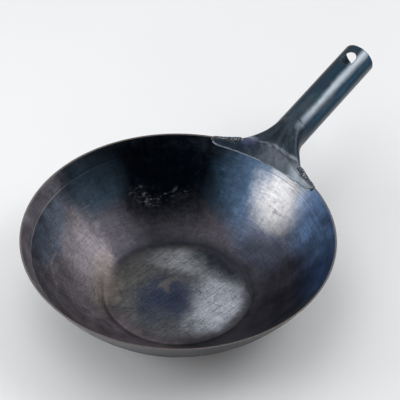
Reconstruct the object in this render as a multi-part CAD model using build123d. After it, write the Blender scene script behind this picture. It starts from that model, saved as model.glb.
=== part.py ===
from build123d import *
import os
from math import cos, hypot, pi, radians, sin, tan

# Carbon steel wok: a spun bowl with a flat floor, and one handle rolled from sheet, whose
# fanned root folds over the rim, laps the inside of the bowl and is welded on.
# Millimetres. Z is up, the origin is the middle of the flat resting face, and the handle runs
# towards +X.

# Bowl
RIM_RADIUS = 150.0            # outside of the rim
BOWL_HEIGHT = 78.0            # resting face to rim
SHEET = 1.6                   # thickness of the steel, bowl and handle alike
FLOOR_RADIUS = 72.0           # where the wall's curve would meet the flat floor
FLOOR_BEND = 9.0              # outside radius of the bend between floor and wall
BAND_HEIGHT = 14.3            # straight band between the ring crease and the rim
BAND_INSET = 8.6              # how much narrower the bowl is at the crease than at the rim
WALL_BULGE = 6.2              # rise of the wall's curve over its chord
RIM_ROUNDING = 0.4            # eased corners of the rim

# Handle tube
TUBE_RADIUS = 17.3            # outside
HANDLE_RISE = 10.9            # degrees above level
HANDLE_LENGTH = 158.4         # along the tube's axis, from over the rim to the open end
AXIS_DROP = 0.1               # how far the axis passes below the rim's level, over the rim
SEAM_GAP = 0.8                # open butt seam along the underside
END_ROUNDING = 0.5            # eased corners of the open end

# Hanging slot through the top of the tube
SLOT_LENGTH = 18.4
SLOT_WIDTH = 13.4
SLOT_SETBACK = 18.8           # from the open end to the middle of the slot
SLOT_ROUNDING = 0.4           # eased outer edge

# Fanned root
FLARE_START = 39.0            # outside the rim, where the tube begins to open
FLARE_LENGTH = 54.0           # from there to the innermost section
CREST_HEIGHT = 8.2            # top of the fold over the rim, above the rim
DISH_DEPTH = 2.4              # hollow inside each of the two ridges that run out from the tube
DISH_TURN = 40.0              # degrees round a section from its top to each ridge
WING_DROP = 4.0               # widest part of the fan, below the tube's axis
WING_CORNER = 6.5             # outside radius of the bend from the fan's top to its skirt
WING_SPREAD = 32.0            # how far the fan spreads past the tube's radius on each side
HEM_DEPTH = 12.0              # lower edge of the fan's skirt, below the rim
HEM_OPENING = 28.0            # half the gap between the skirt's two lower edges

# Lap inside the rim
LAP_DEPTH = 7.0               # below the rim at the middle
LAP_END_DEPTH = 5.0           # below the rim where the rounded corners start
LAP_HALF_WIDTH = 61.0
LAP_CORNER = 9.0              # how far the rounded corners reach in from the ends
LAP_CLEARANCE = 0.15          # between the lap and the bowl's wall

# Weld beads
LAP_BEAD = 1.3
RIM_BEAD_REACH = 5.2          # how far the rim's beads stand outside the rim beside the fan
RIM_BEAD_RISE = 3.8           # and above it
RIM_BEAD_DROP = 1.8           # and below it, all along
RIM_BEAD_TIP = 0.6            # what is left of reach and rise at their far ends
RIM_BEAD_START = 12.0         # degrees from the handle's middle plane
RIM_BEAD_END = 24.5
SKIRT_BEAD = 2.0
WELD_CLEARANCE = 0.3          # between the skirt's beads and the rim's

OVERRUN = 5.0                 # how far cutting shapes run past what they cut

# Cross-sections of the flare, from the round tube to the innermost one. Each row: place along
# the flare, then how far the crown, the width, the wings' drop, the corner radius, the seam's
# opening and the hem have gone from the tube's values to the root's, and the dish's depth.
FLARE_shares = (
    (0.000, 0.00, 0.00, 0.00, 0.00, 0.00, 0.00, 0.0),
    (0.110, 0.01, 0.00, 0.00, 0.00, 0.01, 0.01, 0.0),
    (0.230, 0.09, 0.03, 0.10, 0.07, 0.06, 0.06, 0.2),
    (0.360, 0.28, 0.12, 0.17, 0.31, 0.25, 0.30, 0.7),
    (0.500, 0.56, 0.29, 0.25, 0.63, 0.55, 0.60, 1.0),
    (0.620, 0.83, 0.46, 0.20, 0.86, 0.78, 0.82, 0.8),
    (0.720, 1.00, 0.61, 0.10, 1.00, 0.92, 0.95, 0.2),
    (0.815, 1.55, 0.84, 0.25, 1.10, 1.00, 1.00, 0.0),
    (0.907, 2.05, 0.97, 0.60, 1.10, 1.00, 0.80, 0.0),
    (1.000, 2.80, 1.02, 1.20, 1.10, 1.00, 0.40, 0.0),
)
# Sections of a rim bead, from under the fan to its far end. Each row: place, size.
RIM_BEAD_shares = ((0.0, 0.55), (0.18, 1.0), (0.40, 0.60), (0.65, 0.25), (1.0, 0.0))
SECTION_STEPS = 12            # spline points on each side of a section's top
TURN_STEP = 0.01              # step, in radians, for the slope of a section's line

RISE = radians(HANDLE_RISE)
AXIS_DIRECTION = Vector(cos(RISE), 0, sin(RISE))
AXIS_START = Vector(RIM_RADIUS, 0, BOWL_HEIGHT - AXIS_DROP)
FAN_TOP = CREST_HEIGHT + OVERRUN   # height above the rim that clears the fold


def mix(start, end, share):
    return start + (end - start) * share


def turned(outline):
    """Solid of revolution about Z from a closed list of (radius, height) points."""
    return revolve(Plane.XZ * make_face(Polyline(*outline, close=True)), Axis.Z)


def band_point(inward, up):
    """Point (radius, height) on the band's face moved inwards, at a height above the rim."""
    slant = hypot(BAND_INSET, BAND_HEIGHT)
    return RIM_RADIUS - inward * slant / BAND_HEIGHT + up * BAND_INSET / BAND_HEIGHT, BOWL_HEIGHT + up


def band_fill(inward, low, high):
    """Everything inside the band's face, moved inwards, between two heights above the rim."""
    bottom = band_point(inward, low)
    top = band_point(inward, high)
    return turned([(0, bottom[1]), bottom, top, (0, top[1])])


def bowl_outline():
    """Outer line of the bowl's half section, carried a little above the rim."""
    crease = (RIM_RADIUS - BAND_INSET, BOWL_HEIGHT - BAND_HEIGHT)
    run, rise = crease[0] - FLOOR_RADIUS, crease[1]
    chord = hypot(run, rise)
    bulge = (
        (crease[0] + FLOOR_RADIUS) / 2 + WALL_BULGE * rise / chord,
        crease[1] / 2 - WALL_BULGE * run / chord,
    )
    floor_corner = (FLOOR_RADIUS, 0)
    floor = Line((0, 0), floor_corner)
    wall = ThreePointArc(floor_corner, bulge, crease)
    band = Line(crease, band_point(0, OVERRUN))
    outline = Wire([floor.edge(), wall.edge(), band.edge()])
    corner = outline.vertices().sort_by_distance(floor_corner)[0]
    return outline.fillet_2d(FLOOR_BEND, [corner])


def make_bowl():
    section = make_face(offset(bowl_outline(), SHEET, side=Side.LEFT).edges())
    bowl = revolve(Plane.XZ * section, Axis.Z)
    bowl -= Pos(0, 0, BOWL_HEIGHT) * Cylinder(
        RIM_RADIUS + 2 * OVERRUN, 2 * OVERRUN, align=(Align.CENTER, Align.CENTER, Align.MIN)
    )
    rim = bowl.edges().group_by(Axis.Z)[-1]
    return fillet(rim, RIM_ROUNDING)


def section_values(shares):
    """Place and sizes of one cross-section of the flare."""
    place, crown, spread, wing, corner, opening, hem, dish = shares
    x = RIM_RADIUS + FLARE_START - FLARE_LENGTH * place
    axis = BOWL_HEIGHT - AXIS_DROP + (x - RIM_RADIUS) * tan(RISE)
    tall = TUBE_RADIUS / cos(RISE)
    return {
        "x": x,
        "crown": mix(axis + tall, BOWL_HEIGHT + CREST_HEIGHT, crown),
        "wing": axis - WING_DROP * wing,
        "hem": mix(axis - tall, BOWL_HEIGHT - HEM_DEPTH, hem),
        "width": TUBE_RADIUS + WING_SPREAD * spread,
        "corner": mix(TUBE_RADIUS, WING_CORNER, corner),
        "gap": mix(SEAM_GAP / 2, HEM_OPENING, opening),
        "dish": DISH_DEPTH * dish,
    }


def section_place(size, turn):
    """Across and up on one half of a cross-section: turn 0 is its top, pi the seam."""
    if turn > pi / 2:
        y = size["gap"] + (size["width"] - size["gap"]) * sin(turn)
        return y, size["wing"] + (size["wing"] - size["hem"]) * cos(turn)
    tall = size["corner"] / cos(RISE)
    out = 1 - (1 - turn / (pi / 2)) ** 3
    fall = (size["crown"] - size["wing"] - tall) * out ** 2
    dish = size["dish"] * sin(min(turn / radians(DISH_TURN), 1) * pi) ** 2
    y = (size["width"] - size["corner"]) * out + size["corner"] * sin(turn)
    return y, size["crown"] - fall - dish - tall * (1 - cos(turn))


def section_point(size, turn, inward):
    """Point of a cross-section, moved inwards at right angles to its line."""
    side = 1 if turn >= 0 else -1
    y, z = section_place(size, abs(turn))
    before = section_place(size, max(abs(turn) - TURN_STEP, 0))
    after = section_place(size, min(abs(turn) + TURN_STEP, pi))
    across, down = after[0] - before[0], before[1] - after[1]
    length = hypot(across, down)
    return Vector(size["x"], side * (y - inward * down / length), z - inward * across / length)


def section_line(shares, inward):
    size = section_values(shares)
    steps = range(-SECTION_STEPS, SECTION_STEPS + 1)
    return Spline(*[section_point(size, pi * step / SECTION_STEPS, inward) for step in steps])


def sheet_section(shares):
    """One cross-section of the sheet itself."""
    outer = section_line(shares, 0)
    inner = section_line(shares, SHEET)
    ends = [Line(outer @ 0, inner @ 0), Line(outer @ 1, inner @ 1)]
    return make_face([outer.edge(), inner.edge()] + [end.edge() for end in ends])


def filled_section(shares, grow):
    """One cross-section of everything under the sheet, grown outwards."""
    outer = section_line(shares, -grow)
    return make_face([outer.edge(), Line(outer @ 1, outer @ 0).edge()])


def filled_flare(grow=0.0):
    return loft([filled_section(shares, grow) for shares in FLARE_shares])


def lap_outline(grow=0.0):
    """The lap seen along X, as a block: a shallow bowed lower edge and rounded lower corners."""
    corner_y = LAP_HALF_WIDTH - LAP_CORNER
    end_y = LAP_HALF_WIDTH + grow
    low = BOWL_HEIGHT - LAP_DEPTH - grow
    corner_z = BOWL_HEIGHT - LAP_END_DEPTH - grow
    lower = ThreePointArc((-corner_y, corner_z), (0, low), (corner_y, corner_z))
    slope = lower % 1
    right = TangentArc((corner_y, corner_z), (end_y, BOWL_HEIGHT), tangent=slope)
    left = mirror(right, Plane.YZ)
    top = Line((-end_y, BOWL_HEIGHT), (end_y, BOWL_HEIGHT))
    face = make_face([lower.edge(), right.edge(), left.edge(), top.edge()])
    return extrude(Plane.YZ * face, RIM_RADIUS + OVERRUN)


def make_lap(fan):
    """The part of the sheet that lies on the bowl's wall and rises from it to the fold."""
    outer = SHEET + LAP_CLEARANCE
    layer = band_fill(outer, -BAND_HEIGHT, FAN_TOP) - band_fill(outer + 2 * SHEET, -BAND_HEIGHT, FAN_TOP)
    above = Pos(RIM_RADIUS, 0, BOWL_HEIGHT) * Box(
        RIM_RADIUS, RIM_RADIUS, RIM_RADIUS, align=(Align.CENTER, Align.CENTER, Align.MIN)
    )
    return layer & (lap_outline() + (fan & above))


def from_axis(point):
    """Distance of a point from the tube's axis."""
    offset = point - AXIS_START
    return (offset - AXIS_DIRECTION * offset.dot(AXIS_DIRECTION)).length


def cut_slot(tube):
    """Hanging slot through the top of the tube, its outer edge eased."""
    middle = AXIS_START + AXIS_DIRECTION * (HANDLE_LENGTH - SLOT_SETBACK)
    plane = Plane(middle, x_dir=AXIS_DIRECTION, z_dir=(-sin(RISE), 0, cos(RISE)))
    slot = extrude(plane * SlotOverall(SLOT_LENGTH, SLOT_WIDTH), TUBE_RADIUS + OVERRUN)
    cut = tube - slot
    border = new_edges(tube, slot, combined=cut)
    outside = [edge for edge in border if from_axis(edge @ 0.5) > TUBE_RADIUS - SHEET / 4]
    return fillet(outside, SLOT_ROUNDING)


def make_tube():
    """Rolled tube with an eased end, an open seam below and the hanging slot above."""
    end = AXIS_START + AXIS_DIRECTION * HANDLE_LENGTH
    reach = HANDLE_LENGTH - FLARE_START / cos(RISE)
    tube = extrude(sheet_section(FLARE_shares[0]), reach + OVERRUN, dir=AXIS_DIRECTION)
    tube = split(tube, bisect_by=Plane(end, z_dir=AXIS_DIRECTION), keep=Keep.BOTTOM)
    rim = tube.faces().sort_by(Axis(AXIS_START, AXIS_DIRECTION))[-1]
    return cut_slot(fillet(rim.edges(), END_ROUNDING))


def make_handle():
    """Tube, fanned root, fold over the rim and lap inside it, all one sheet."""
    sheet = loft([sheet_section(shares) for shares in FLARE_shares]) + make_tube()
    sheet -= band_fill(0, -BAND_HEIGHT - OVERRUN, 0)
    sheet += make_lap(filled_flare(-SHEET / 2))
    sheet -= band_fill(2 * SHEET + LAP_CLEARANCE, -BAND_HEIGHT - OVERRUN, FAN_TOP)
    return sheet.solids().sort_by(SortBy.VOLUME)[-1]


def make_lap_weld(handle):
    """Bead along the lap's lower edge and round its corners, on the bowl's wall."""
    bead = band_fill(SHEET, -BAND_HEIGHT, 0) - band_fill(SHEET + LAP_BEAD, -BAND_HEIGHT, 0)
    return bead & (lap_outline(LAP_BEAD) - lap_outline()) - handle


def make_rim_weld(side, bowl, handle):
    """Bead over the rim beyond the fan, on one side of the handle, thinning to its end."""
    sections = []
    for place, size in RIM_BEAD_shares:
        reach = mix(RIM_BEAD_TIP, RIM_BEAD_REACH, size)
        top = mix(RIM_BEAD_TIP, RIM_BEAD_RISE, size)
        middle = Pos(RIM_RADIUS + (reach - SHEET) / 2, BOWL_HEIGHT + (top - RIM_BEAD_DROP) / 2)
        section = Plane.XZ * middle * Ellipse((reach + SHEET) / 2, (top + RIM_BEAD_DROP) / 2)
        sections.append(Rot(0, 0, side * mix(RIM_BEAD_START, RIM_BEAD_END, place)) * section)
    return loft(sections) - bowl - handle


def make_skirt_weld(side, handle):
    """Bead where the fan's skirt meets the outside of the bowl, on one side of the handle."""
    top = -RIM_BEAD_DROP - WELD_CLEARANCE
    corner = filled_flare(SKIRT_BEAD) - filled_flare()
    corner &= band_fill(-SKIRT_BEAD, -HEM_DEPTH, top) - band_fill(0, -HEM_DEPTH, top)
    inner = Align.MIN if side > 0 else Align.MAX
    half = Pos(RIM_RADIUS, side * HEM_OPENING, BOWL_HEIGHT) * Box(
        RIM_RADIUS, RIM_RADIUS, RIM_RADIUS, align=(Align.CENTER, inner, Align.CENTER)
    )
    return (corner & half) - handle


if __name__ == "__main__":
    os.makedirs("parts", exist_ok=True)
    bowl = make_bowl()
    handle = make_handle()
    nodes = {"bowl": bowl, "handle": handle, "lap_weld": make_lap_weld(handle)}
    for name, side in (("left", 1), ("right", -1)):
        nodes[f"rim_weld_{name}"] = make_rim_weld(side, bowl, handle)
        nodes[f"skirt_weld_{name}"] = make_skirt_weld(side, handle)
    for name, shape in nodes.items():
        print(name, len(shape.solids()), round(shape.volume, 1), shape.is_valid)
        export_step(shape, f"parts/{name}.step")
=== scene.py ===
"""Carbon steel wok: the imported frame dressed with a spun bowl, a rolled handle and weld beads."""

from cmath import phase, rect
from math import cos, exp, hypot, pi, radians, sin, sqrt

import bmesh
import bpy
import numpy as np
from bpy.props import FloatProperty, FloatVectorProperty, IntProperty, PointerProperty
from mathutils import Matrix, Vector, noise
from mathutils.bvhtree import BVHTree


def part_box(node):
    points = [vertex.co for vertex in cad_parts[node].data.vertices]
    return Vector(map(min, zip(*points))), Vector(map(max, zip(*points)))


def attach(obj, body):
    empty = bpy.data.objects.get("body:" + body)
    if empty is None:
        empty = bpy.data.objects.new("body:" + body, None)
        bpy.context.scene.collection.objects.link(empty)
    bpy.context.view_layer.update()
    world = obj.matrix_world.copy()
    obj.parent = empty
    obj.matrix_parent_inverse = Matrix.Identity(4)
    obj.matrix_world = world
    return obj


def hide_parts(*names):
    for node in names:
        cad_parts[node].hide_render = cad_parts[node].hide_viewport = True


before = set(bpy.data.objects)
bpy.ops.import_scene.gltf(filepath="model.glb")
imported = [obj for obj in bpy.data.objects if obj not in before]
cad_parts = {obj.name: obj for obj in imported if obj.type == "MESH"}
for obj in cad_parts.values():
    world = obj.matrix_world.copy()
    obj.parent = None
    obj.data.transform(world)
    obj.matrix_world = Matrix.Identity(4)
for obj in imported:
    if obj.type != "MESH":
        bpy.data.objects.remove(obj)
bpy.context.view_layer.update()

bl_info = {
    "name": "Carbon Steel Wok",
    "version": (1, 0, 0),
    "blender": (4, 5, 0),
    "location": "View3D > Sidebar > Wok",
    "description": "Makes the bowl, handle, weld beads and studio of a carbon steel wok",
    "category": "Object",
}

MM = 0.001
BOWL_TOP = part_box("bowl")[1]
RIM_WELDS = ("rim_weld_left", "rim_weld_right")
SKIRT_WELDS = ("skirt_weld_left", "skirt_weld_right")


def length(words, name, millimetres):
    return FloatProperty(
        name=name, description=words, default=millimetres * MM, subtype="DISTANCE", unit="LENGTH",
        precision=4,
    )


def colour(words, name, value):
    return FloatVectorProperty(
        name=name, description=words, default=value, size=3, subtype="COLOR", min=0, max=1
    )


def number(words, name, value):
    return FloatProperty(name=name, description=words, default=value)


def angle(words, name, degrees):
    return FloatProperty(name=name, description=words, default=radians(degrees), subtype="ANGLE")


class WokBowlShape(bpy.types.PropertyGroup):
    """Sizes of the spun bowl."""

    rim_radius: length("Radius of the rim", "Rim radius", round(BOWL_TOP.x / MM))
    height: length("Height of the rim above the resting face", "Height", round(BOWL_TOP.z / MM))
    sheet: length("Thickness of the steel sheet", "Sheet", 1.6)
    floor_radius: length("Radius at which the floor would meet the wall", "Floor radius", 72)
    floor_bend: length("Radius of the bend between floor and wall", "Floor bend", 9)
    band_height: length("Height of the straight band below the rim", "Band height", 14.3)
    band_inset: length("How far the band's lower edge lies inside the rim", "Band inset", 8.6)
    wall_bulge: length("How far the wall bows out of a straight line", "Wall bulge", 6.2)
    rim_rounding: length("Size of the eased corners of the rim", "Rim rounding", 0.5)
    crease_depth: length("Depth of the spun line between wall and band", "Crease depth", 0.12)
    crease_width: length("Half width of the spun line", "Crease width", 0.6)
    waviness: length("Unevenness of the hand-finished wall", "Waviness", 0.5)
    wave_length: length("Typical distance between the uneven places", "Wave length", 42)
    steps_round: IntProperty(
        name="Steps round", description="Faces round the bowl", default=360, min=48, max=720
    )


class WokHandleShape(bpy.types.PropertyGroup):
    """Sizes of the handle's finer forms, which the CAD handle leaves out."""

    grain: length("Spacing of the handle's dense mesh", "Mesh spacing", 0.64)
    tube_radius: length("Outer radius of the tube", "Tube radius", 17.3)
    rise: angle("How much the tube's axis rises", "Rise", 10.9)
    sheet: length("Thickness of the handle's sheet", "Sheet", 1.6)
    straight_from: length("Distance from the rim at which the tube is round", "Straight from", 41)
    axis_drop: length("How far the axis starts below the rim", "Axis drop", 0.1)
    ridge_height: length("Height of the ridges that the fan's folding leaves", "Ridge height", 0.9)
    valley_depth: length("Depth of the valleys beside the ridges", "Valley depth", 0.9)
    wrinkle_depth: length("Depth of the crumpled metal on the ridges", "Wrinkle depth", 0.75)
    unevenness: length("Unevenness of the hammered fan and lap", "Unevenness", 0.35)


class WokWeldShape(bpy.types.PropertyGroup):
    """Sizes of the weld beads."""

    lap_bead: length("Radius of the bead along the lap's lower edge", "Lap bead", 1.2)
    lap_half_width: length("Half width of the lap", "Lap half width", 61)
    lap_depth: length("How far the lap's middle reaches below the rim", "Lap depth", 7)
    lap_end_depth: length("How far the lap's ends reach below the rim", "Lap end depth", 5)
    lap_corner: length("Size of the lap's rounded corners", "Lap corner", 9)
    skirt_bead: length("Radius of the beads under the fan", "Skirt bead", 1.3)
    ripple_pitch: length("Distance from one ripple of a bead to the next", "Ripple pitch", 1.5)
    ripple_depth: number("Depth of the ripples as a share of the bead's radius", "Ripple depth", 0.22)
    lumpiness: number("Uneven swelling as a share of the bead's radius", "Lumpiness", 0.5)
    seed: IntProperty(name="Seed", description="Seed of the uneven places", default=5)


class WokFinish(bpy.types.PropertyGroup):
    """Colours of the heat-blued steel, some of them painted highlight, reflection or shade."""

    blue_black: colour("Upper wall of the bowl", "Blue black", (0.050, 0.056, 0.072))
    brown_grey: colour("Lower wall of the bowl", "Brown grey", (0.068, 0.062, 0.074))
    floor_steel: colour("Worn floor of the bowl", "Floor steel", (0.078, 0.079, 0.084))
    band_grey: colour("Matt band below the rim", "Band grey", (0.360, 0.330, 0.365))
    rim_edge: colour("Edge of the rim", "Rim edge", (0.150, 0.132, 0.120))
    bare_edge: colour("Edges worn to bare steel", "Bare edge", (0.34, 0.37, 0.40))
    outside_grey: colour("Outside of the bowl", "Outside grey", (0.180, 0.177, 0.186))
    # painted shade: the outside's colour on its side away from the lamps
    outside_shade: colour("Darker side of the outside", "Outside dark", (0.050, 0.050, 0.057))
    chalk: colour("Dry pale residue", "Chalk", (0.42, 0.41, 0.40))
    # painted highlight: the tube's top colour is lighter where the lamp's highlight falls
    slate: colour("Top of the handle's tube", "Slate", (0.198, 0.224, 0.252))
    slate_blue: colour("Blue stripe along the tube", "Slate blue", (0.048, 0.116, 0.188))
    # dark temper colour, also a painted dark reflection on the tube's sides
    dark_slate_and_reflection: colour("Sides of the tube", "Dark slate", (0.016, 0.038, 0.058))
    lap_grey: colour("Fold and lap inside the rim", "Lap grey", (0.062, 0.070, 0.084))
    weld_dark: colour("Weld metal in its hollows", "Weld dark", (0.035, 0.038, 0.045))
    # bright weld metal, which on the lap's bead is also a painted highlight
    weld_bright: colour("Weld metal on its ripples", "Weld bright", (0.50, 0.56, 0.62))


class WokStudio(bpy.types.PropertyGroup):
    """Camera, floor and lamps."""

    azimuth: angle("Side that the camera stands on", "Azimuth", 216.7)
    elevation: angle("Height of the camera as an angle", "Elevation", 41.62)
    roll: angle("Turn of the camera about its view", "Roll", 1.37)
    distance: length("Distance from the camera to its aim", "Distance", 1549.7)
    aim: FloatVectorProperty(
        name="Aim", description="Point at the middle of the picture", size=3, subtype="TRANSLATION",
        default=(0.05076, 0.01339, 0.078),
    )
    lens: FloatProperty(
        name="Lens", description="Focal length", default=144, min=1, subtype="DISTANCE_CAMERA"
    )
    floor_colour: colour("Pale studio floor", "Floor", (0.93, 0.93, 0.935))
    surround: colour("Soft light from the bright side", "Surround", (0.44, 0.445, 0.455))
    surround_dim: colour("Soft light from the dim side", "Dim surround", (0.24, 0.24, 0.245))
    bright_side: angle("Side of the room that is brighter", "Bright side", 37)


class Tree:
    """A node tree that is built by small steps, most of which return an output socket."""

    def __init__(self, tree):
        self.tree = tree

    def node(self, kind, given=(), **settings):
        """A new node: its settings are made first, then its inputs are filled by name or number."""
        made = self.tree.nodes.new(kind)
        for name, value in settings.items():
            setattr(made, name, value)
        for name, value in dict(given).items():
            self.put(made.inputs[name], value)
        return made

    def put(self, socket, value):
        """Links a socket to an output, or gives it a value of its own."""
        if isinstance(value, bpy.types.NodeSocket):
            self.tree.links.new(value, socket)
        elif socket.type == "RGBA" and len(value) == 3:
            socket.default_value = (*value, 1)
        else:
            socket.default_value = value

    def math(self, operation, *values):
        return self.node("ShaderNodeMath", enumerate(values), operation=operation).outputs[0]

    def plus(self, first, second):
        return self.math("ADD", first, second)

    def minus(self, first, second):
        return self.math("SUBTRACT", first, second)

    def times(self, first, second):
        return self.math("MULTIPLY", first, second)

    def weighed(self, *pairs):
        """Sum of numbers, each times its weight."""
        total = 0.0
        for value, weight in pairs:
            total = self.plus(total, self.times(value, weight))
        return total

    def vector(self, operation, *values):
        made = self.node("ShaderNodeVectorMath", enumerate(values), operation=operation)
        return made.outputs["Value" if operation in ("LENGTH", "DOT_PRODUCT") else "Vector"]

    def dot(self, first, second):
        return self.vector("DOT_PRODUCT", first, second)

    def scaled(self, vector, factor):
        """A vector made longer, or a colour made lighter, by a factor."""
        given = {0: vector, "Scale": factor}
        return self.node("ShaderNodeVectorMath", given, operation="SCALE").outputs["Vector"]

    def joined(self, x, y, z=0.0):
        return self.node("ShaderNodeCombineXYZ", enumerate((x, y, z))).outputs[0]

    def parts(self, vector):
        return self.node("ShaderNodeSeparateXYZ", {0: vector}).outputs[:3]

    def grain(self, vector, scale, detail, roughness, seed):
        """Noise from 0 to 1, mostly near a half: first as a number, then as a colour."""
        given = {"Vector": vector, "W": seed, "Scale": scale, "Detail": detail, "Roughness": roughness}
        return self.node("ShaderNodeTexNoise", given, noise_dimensions="4D").outputs

    def step(self, value, low, high, start=0.0, end=1.0):
        """Goes smoothly from start to end while the value goes from low to high."""
        given = {"Value": value, "From Min": low, "From Max": high, "To Min": start, "To Max": end}
        return self.node("ShaderNodeMapRange", given, interpolation_type="SMOOTHSTEP").outputs[0]

    def near(self, value, place, inner, outer, start=1.0):
        """The start near a place, fading to 0 between an inner and an outer distance from it."""
        return self.step(self.math("ABSOLUTE", self.minus(value, place)), inner, outer, start, 0.0)

    def laid(self, base, tone, share, *shares):
        """The base colour with another laid over it, as strong as the product of the shares."""
        for further in shares:
            share = self.times(share, further)
        return self.node("ShaderNodeMix", {0: share, 6: base, 7: tone}, data_type="RGBA").outputs[2]

    def made(self, kind, given=(), **settings):
        """The first output of a new Geometry Nodes node."""
        return self.node("GeometryNode" + kind, given, **settings).outputs[0]


# scale per mm, detail, roughness and seed of the noise behind each pattern
GRAINS = {
    "drift": (0.03, 4, 0.6, 1),
    "ragged": (0.14, 6, 0.68, 2),
    "arcs": (1, 4, 0.62, 3),
    "blotch": (0.05, 5, 0.62, 4),
    "fine": (0.9, 3, 0.6, 5),
    "spokes": (1, 3, 0.6, 6),
    "strokes": (1, 3, 0.6, 7),
    "dashes": (1, 3, 0.6, 8),
    "flecks": (1, 6, 0.76, 9),
    "specks": (0.9, 3, 0.6, 10),
    "handle drift": (0.07, 4, 0.6, 21),
    "drawn lines": (1, 3, 0.6, 22),
    "handle blotch": (0.09, 5, 0.62, 23),
    "handle fine": (1.1, 3, 0.6, 24),
    "handle nicks": (0.7, 4, 0.65, 25),
    "handle ragged": (0.2, 5, 0.65, 26),
    "weld scale": (0.8, 5, 0.65, 31),
    "weld fine": (3, 3, 0.6, 32),
    "floor": (0.004, 2, 0.5, 41),
}
# at this square of its half size a patch has faded out
PATCH_end = 1.1


class Finish(Tree):
    """A material whose pattern is drawn in millimetres in the wok's own frame."""

    def __init__(self, name):
        self.material = bpy.data.materials.new(name)
        self.material.use_nodes = True
        super().__init__(self.material.node_tree)
        self.tree.nodes.clear()
        place = self.node("ShaderNodeTexCoord").outputs["Object"]
        self.place = self.scaled(place, 1 / MM)
        self.x, self.y, self.z = self.parts(self.place)
        self.ragged = 0.0

    def pattern(self, name, place=None):
        """A named noise pattern, on the plain place or on one that is drawn out."""
        return self.grain(self.place if place is None else place, *GRAINS[name])[0]

    def drifted(self, place, name, far):
        """The place moved about by a noise, so that what is drawn on it has an uneven outline."""
        way = self.vector("SUBTRACT", self.grain(place, *GRAINS[name])[1], (0.5, 0.5, 0.5))
        return self.vector("ADD", place, self.scaled(way, far))

    def roughened(self, name, depth):
        """Makes the edges of patches ragged, and returns the noise that does it."""
        raw = self.pattern(name)
        self.ragged = self.times(self.minus(raw, 0.5), depth)
        return raw

    def toned(self, base, noise_in, depth, spread=0.2):
        """A colour made lighter and darker by a noise that lies near a half."""
        return self.scaled(base, self.step(noise_in, 0.5 - spread, 0.5 + spread, 1 - depth, 1 + depth))

    def dimmed(self, base, share):
        """A colour with a share of its light taken away."""
        return self.scaled(base, self.minus(1.0, share))

    def patch(self, place, spot):
        """Share of one oval patch: 1 in its middle, fading to 0 at its edge."""
        x, y, half_long, half_wide, degrees = spot
        turn = radians(degrees)
        offset = self.vector("SUBTRACT", place, (x, y, 0))
        along = self.dot(offset, (cos(turn) / half_long, sin(turn) / half_long, 0))
        across = self.dot(offset, (-sin(turn) / half_wide, cos(turn) / half_wide, 0))
        square = self.plus(self.times(along, along), self.times(across, across))
        return self.step(self.plus(square, self.ragged), 0.0, PATCH_end, 1.0, 0.0)

    def patched(self, base, place, patches):
        """The base colour with patches laid over it one after the other."""
        for *spot, tone, strength in patches:
            base = self.laid(base, tone, self.patch(place, spot), strength)
        return base

    def ended(self, given):
        """Ends the material in one shader."""
        shader = self.node("ShaderNodeBsdfPrincipled", given)
        self.node("ShaderNodeOutputMaterial", {"Surface": shader.outputs[0]})
        return self.material

    def steel(self, base, roughness, height, bump, depth, metal=1.0):
        """Ends the material in one metal shader with a bump, whose depth is in mm."""
        lumps = self.node("ShaderNodeBump", {"Strength": bump, "Distance": depth * MM, "Height": height})
        return self.ended({
            "Base Color": base, "Metallic": metal, "Roughness": roughness, "Normal": lumps.outputs[0],
        })


# x, y, half length, half width and turn in degrees of each patch in mm, then its colour and strength
BOWL_patches = (
    (-90, -10, 82, 46, 93, (0.265, 0.222, 0.250), 0.9),
    # brown-violet wall colour, made lighter here as a painted highlight on the left wall
    (-66, 78, 90, 50, 40, (0.322, 0.284, 0.312), 0.95),
    (-44, 60, 50, 18, 36, (0.250, 0.215, 0.192), 0.75),
    (-56, 116, 58, 16, 27, (0.180, 0.225, 0.300), 0.9),
    (62, 62, 60, 26, -45, (0.036, 0.036, 0.043), 0.85),
    # painted reflection: near-black back wall, standing in for the dark side of the room that the metal
    # mirrors there
    (93, 86, 108, 46, -46, (0.0015, 0.0035, 0.007), 1.0),
    (24, 127, 44, 20, -14, (0.038, 0.064, 0.092), 0.75),
    # blue-teal temper colour with a painted fade from the dark back wall into the highlight
    (122, 14, 42, 34, 98, (0.018, 0.044, 0.072), 0.85),
    # blue temper colour with a painted sheen round the highlight
    (118, -34, 84, 50, -107, (0.088, 0.142, 0.232), 0.9),
    # painted glow: grey-violet light below the highlight
    (96, -42, 54, 22, -108, (0.118, 0.118, 0.145), 0.65),
    # painted highlight: the pale hot spot of the lamp on the right wall
    (125, -31, 42, 27, -104, (0.425, 0.412, 0.408), 0.9),
    (78, -45, 40, 20, 60, (0.052, 0.055, 0.075), 0.6),
    (74, -112, 78, 30, 32, (0.064, 0.126, 0.275), 0.95),
    (106, -88, 56, 28, 50, (0.140, 0.225, 0.385), 0.85),
    (30, -96, 76, 32, 15, (0.054, 0.052, 0.070), 0.9),
)
FLOOR_patches = (
    (-24, 46, 56, 26, 25, (0.082, 0.080, 0.080), 0.8),
    (-38, 56, 46, 17, 36, (0.170, 0.150, 0.134), 0.8),
    (12, -41, 62, 38, 24, (0.305, 0.322, 0.365), 0.95),
    (44, 14, 50, 24, -60, (0.235, 0.245, 0.262), 0.9),
    (64, -8, 52, 33, 82, (0.014, 0.019, 0.028), 0.95),
    (-16, 2, 44, 38, 20, (0.028, 0.037, 0.064), 1.0),
    (3, 16, 13, 5, -20, (0.130, 0.116, 0.106), 0.6),
    (-4, 9, 9, 5, 40, (0.100, 0.090, 0.084), 0.6),
    (14, 12, 10, 4, -60, (0.110, 0.102, 0.098), 0.5),
    (-36, -14, 26, 12, 80, (0.060, 0.060, 0.064), 0.5),
)
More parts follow.
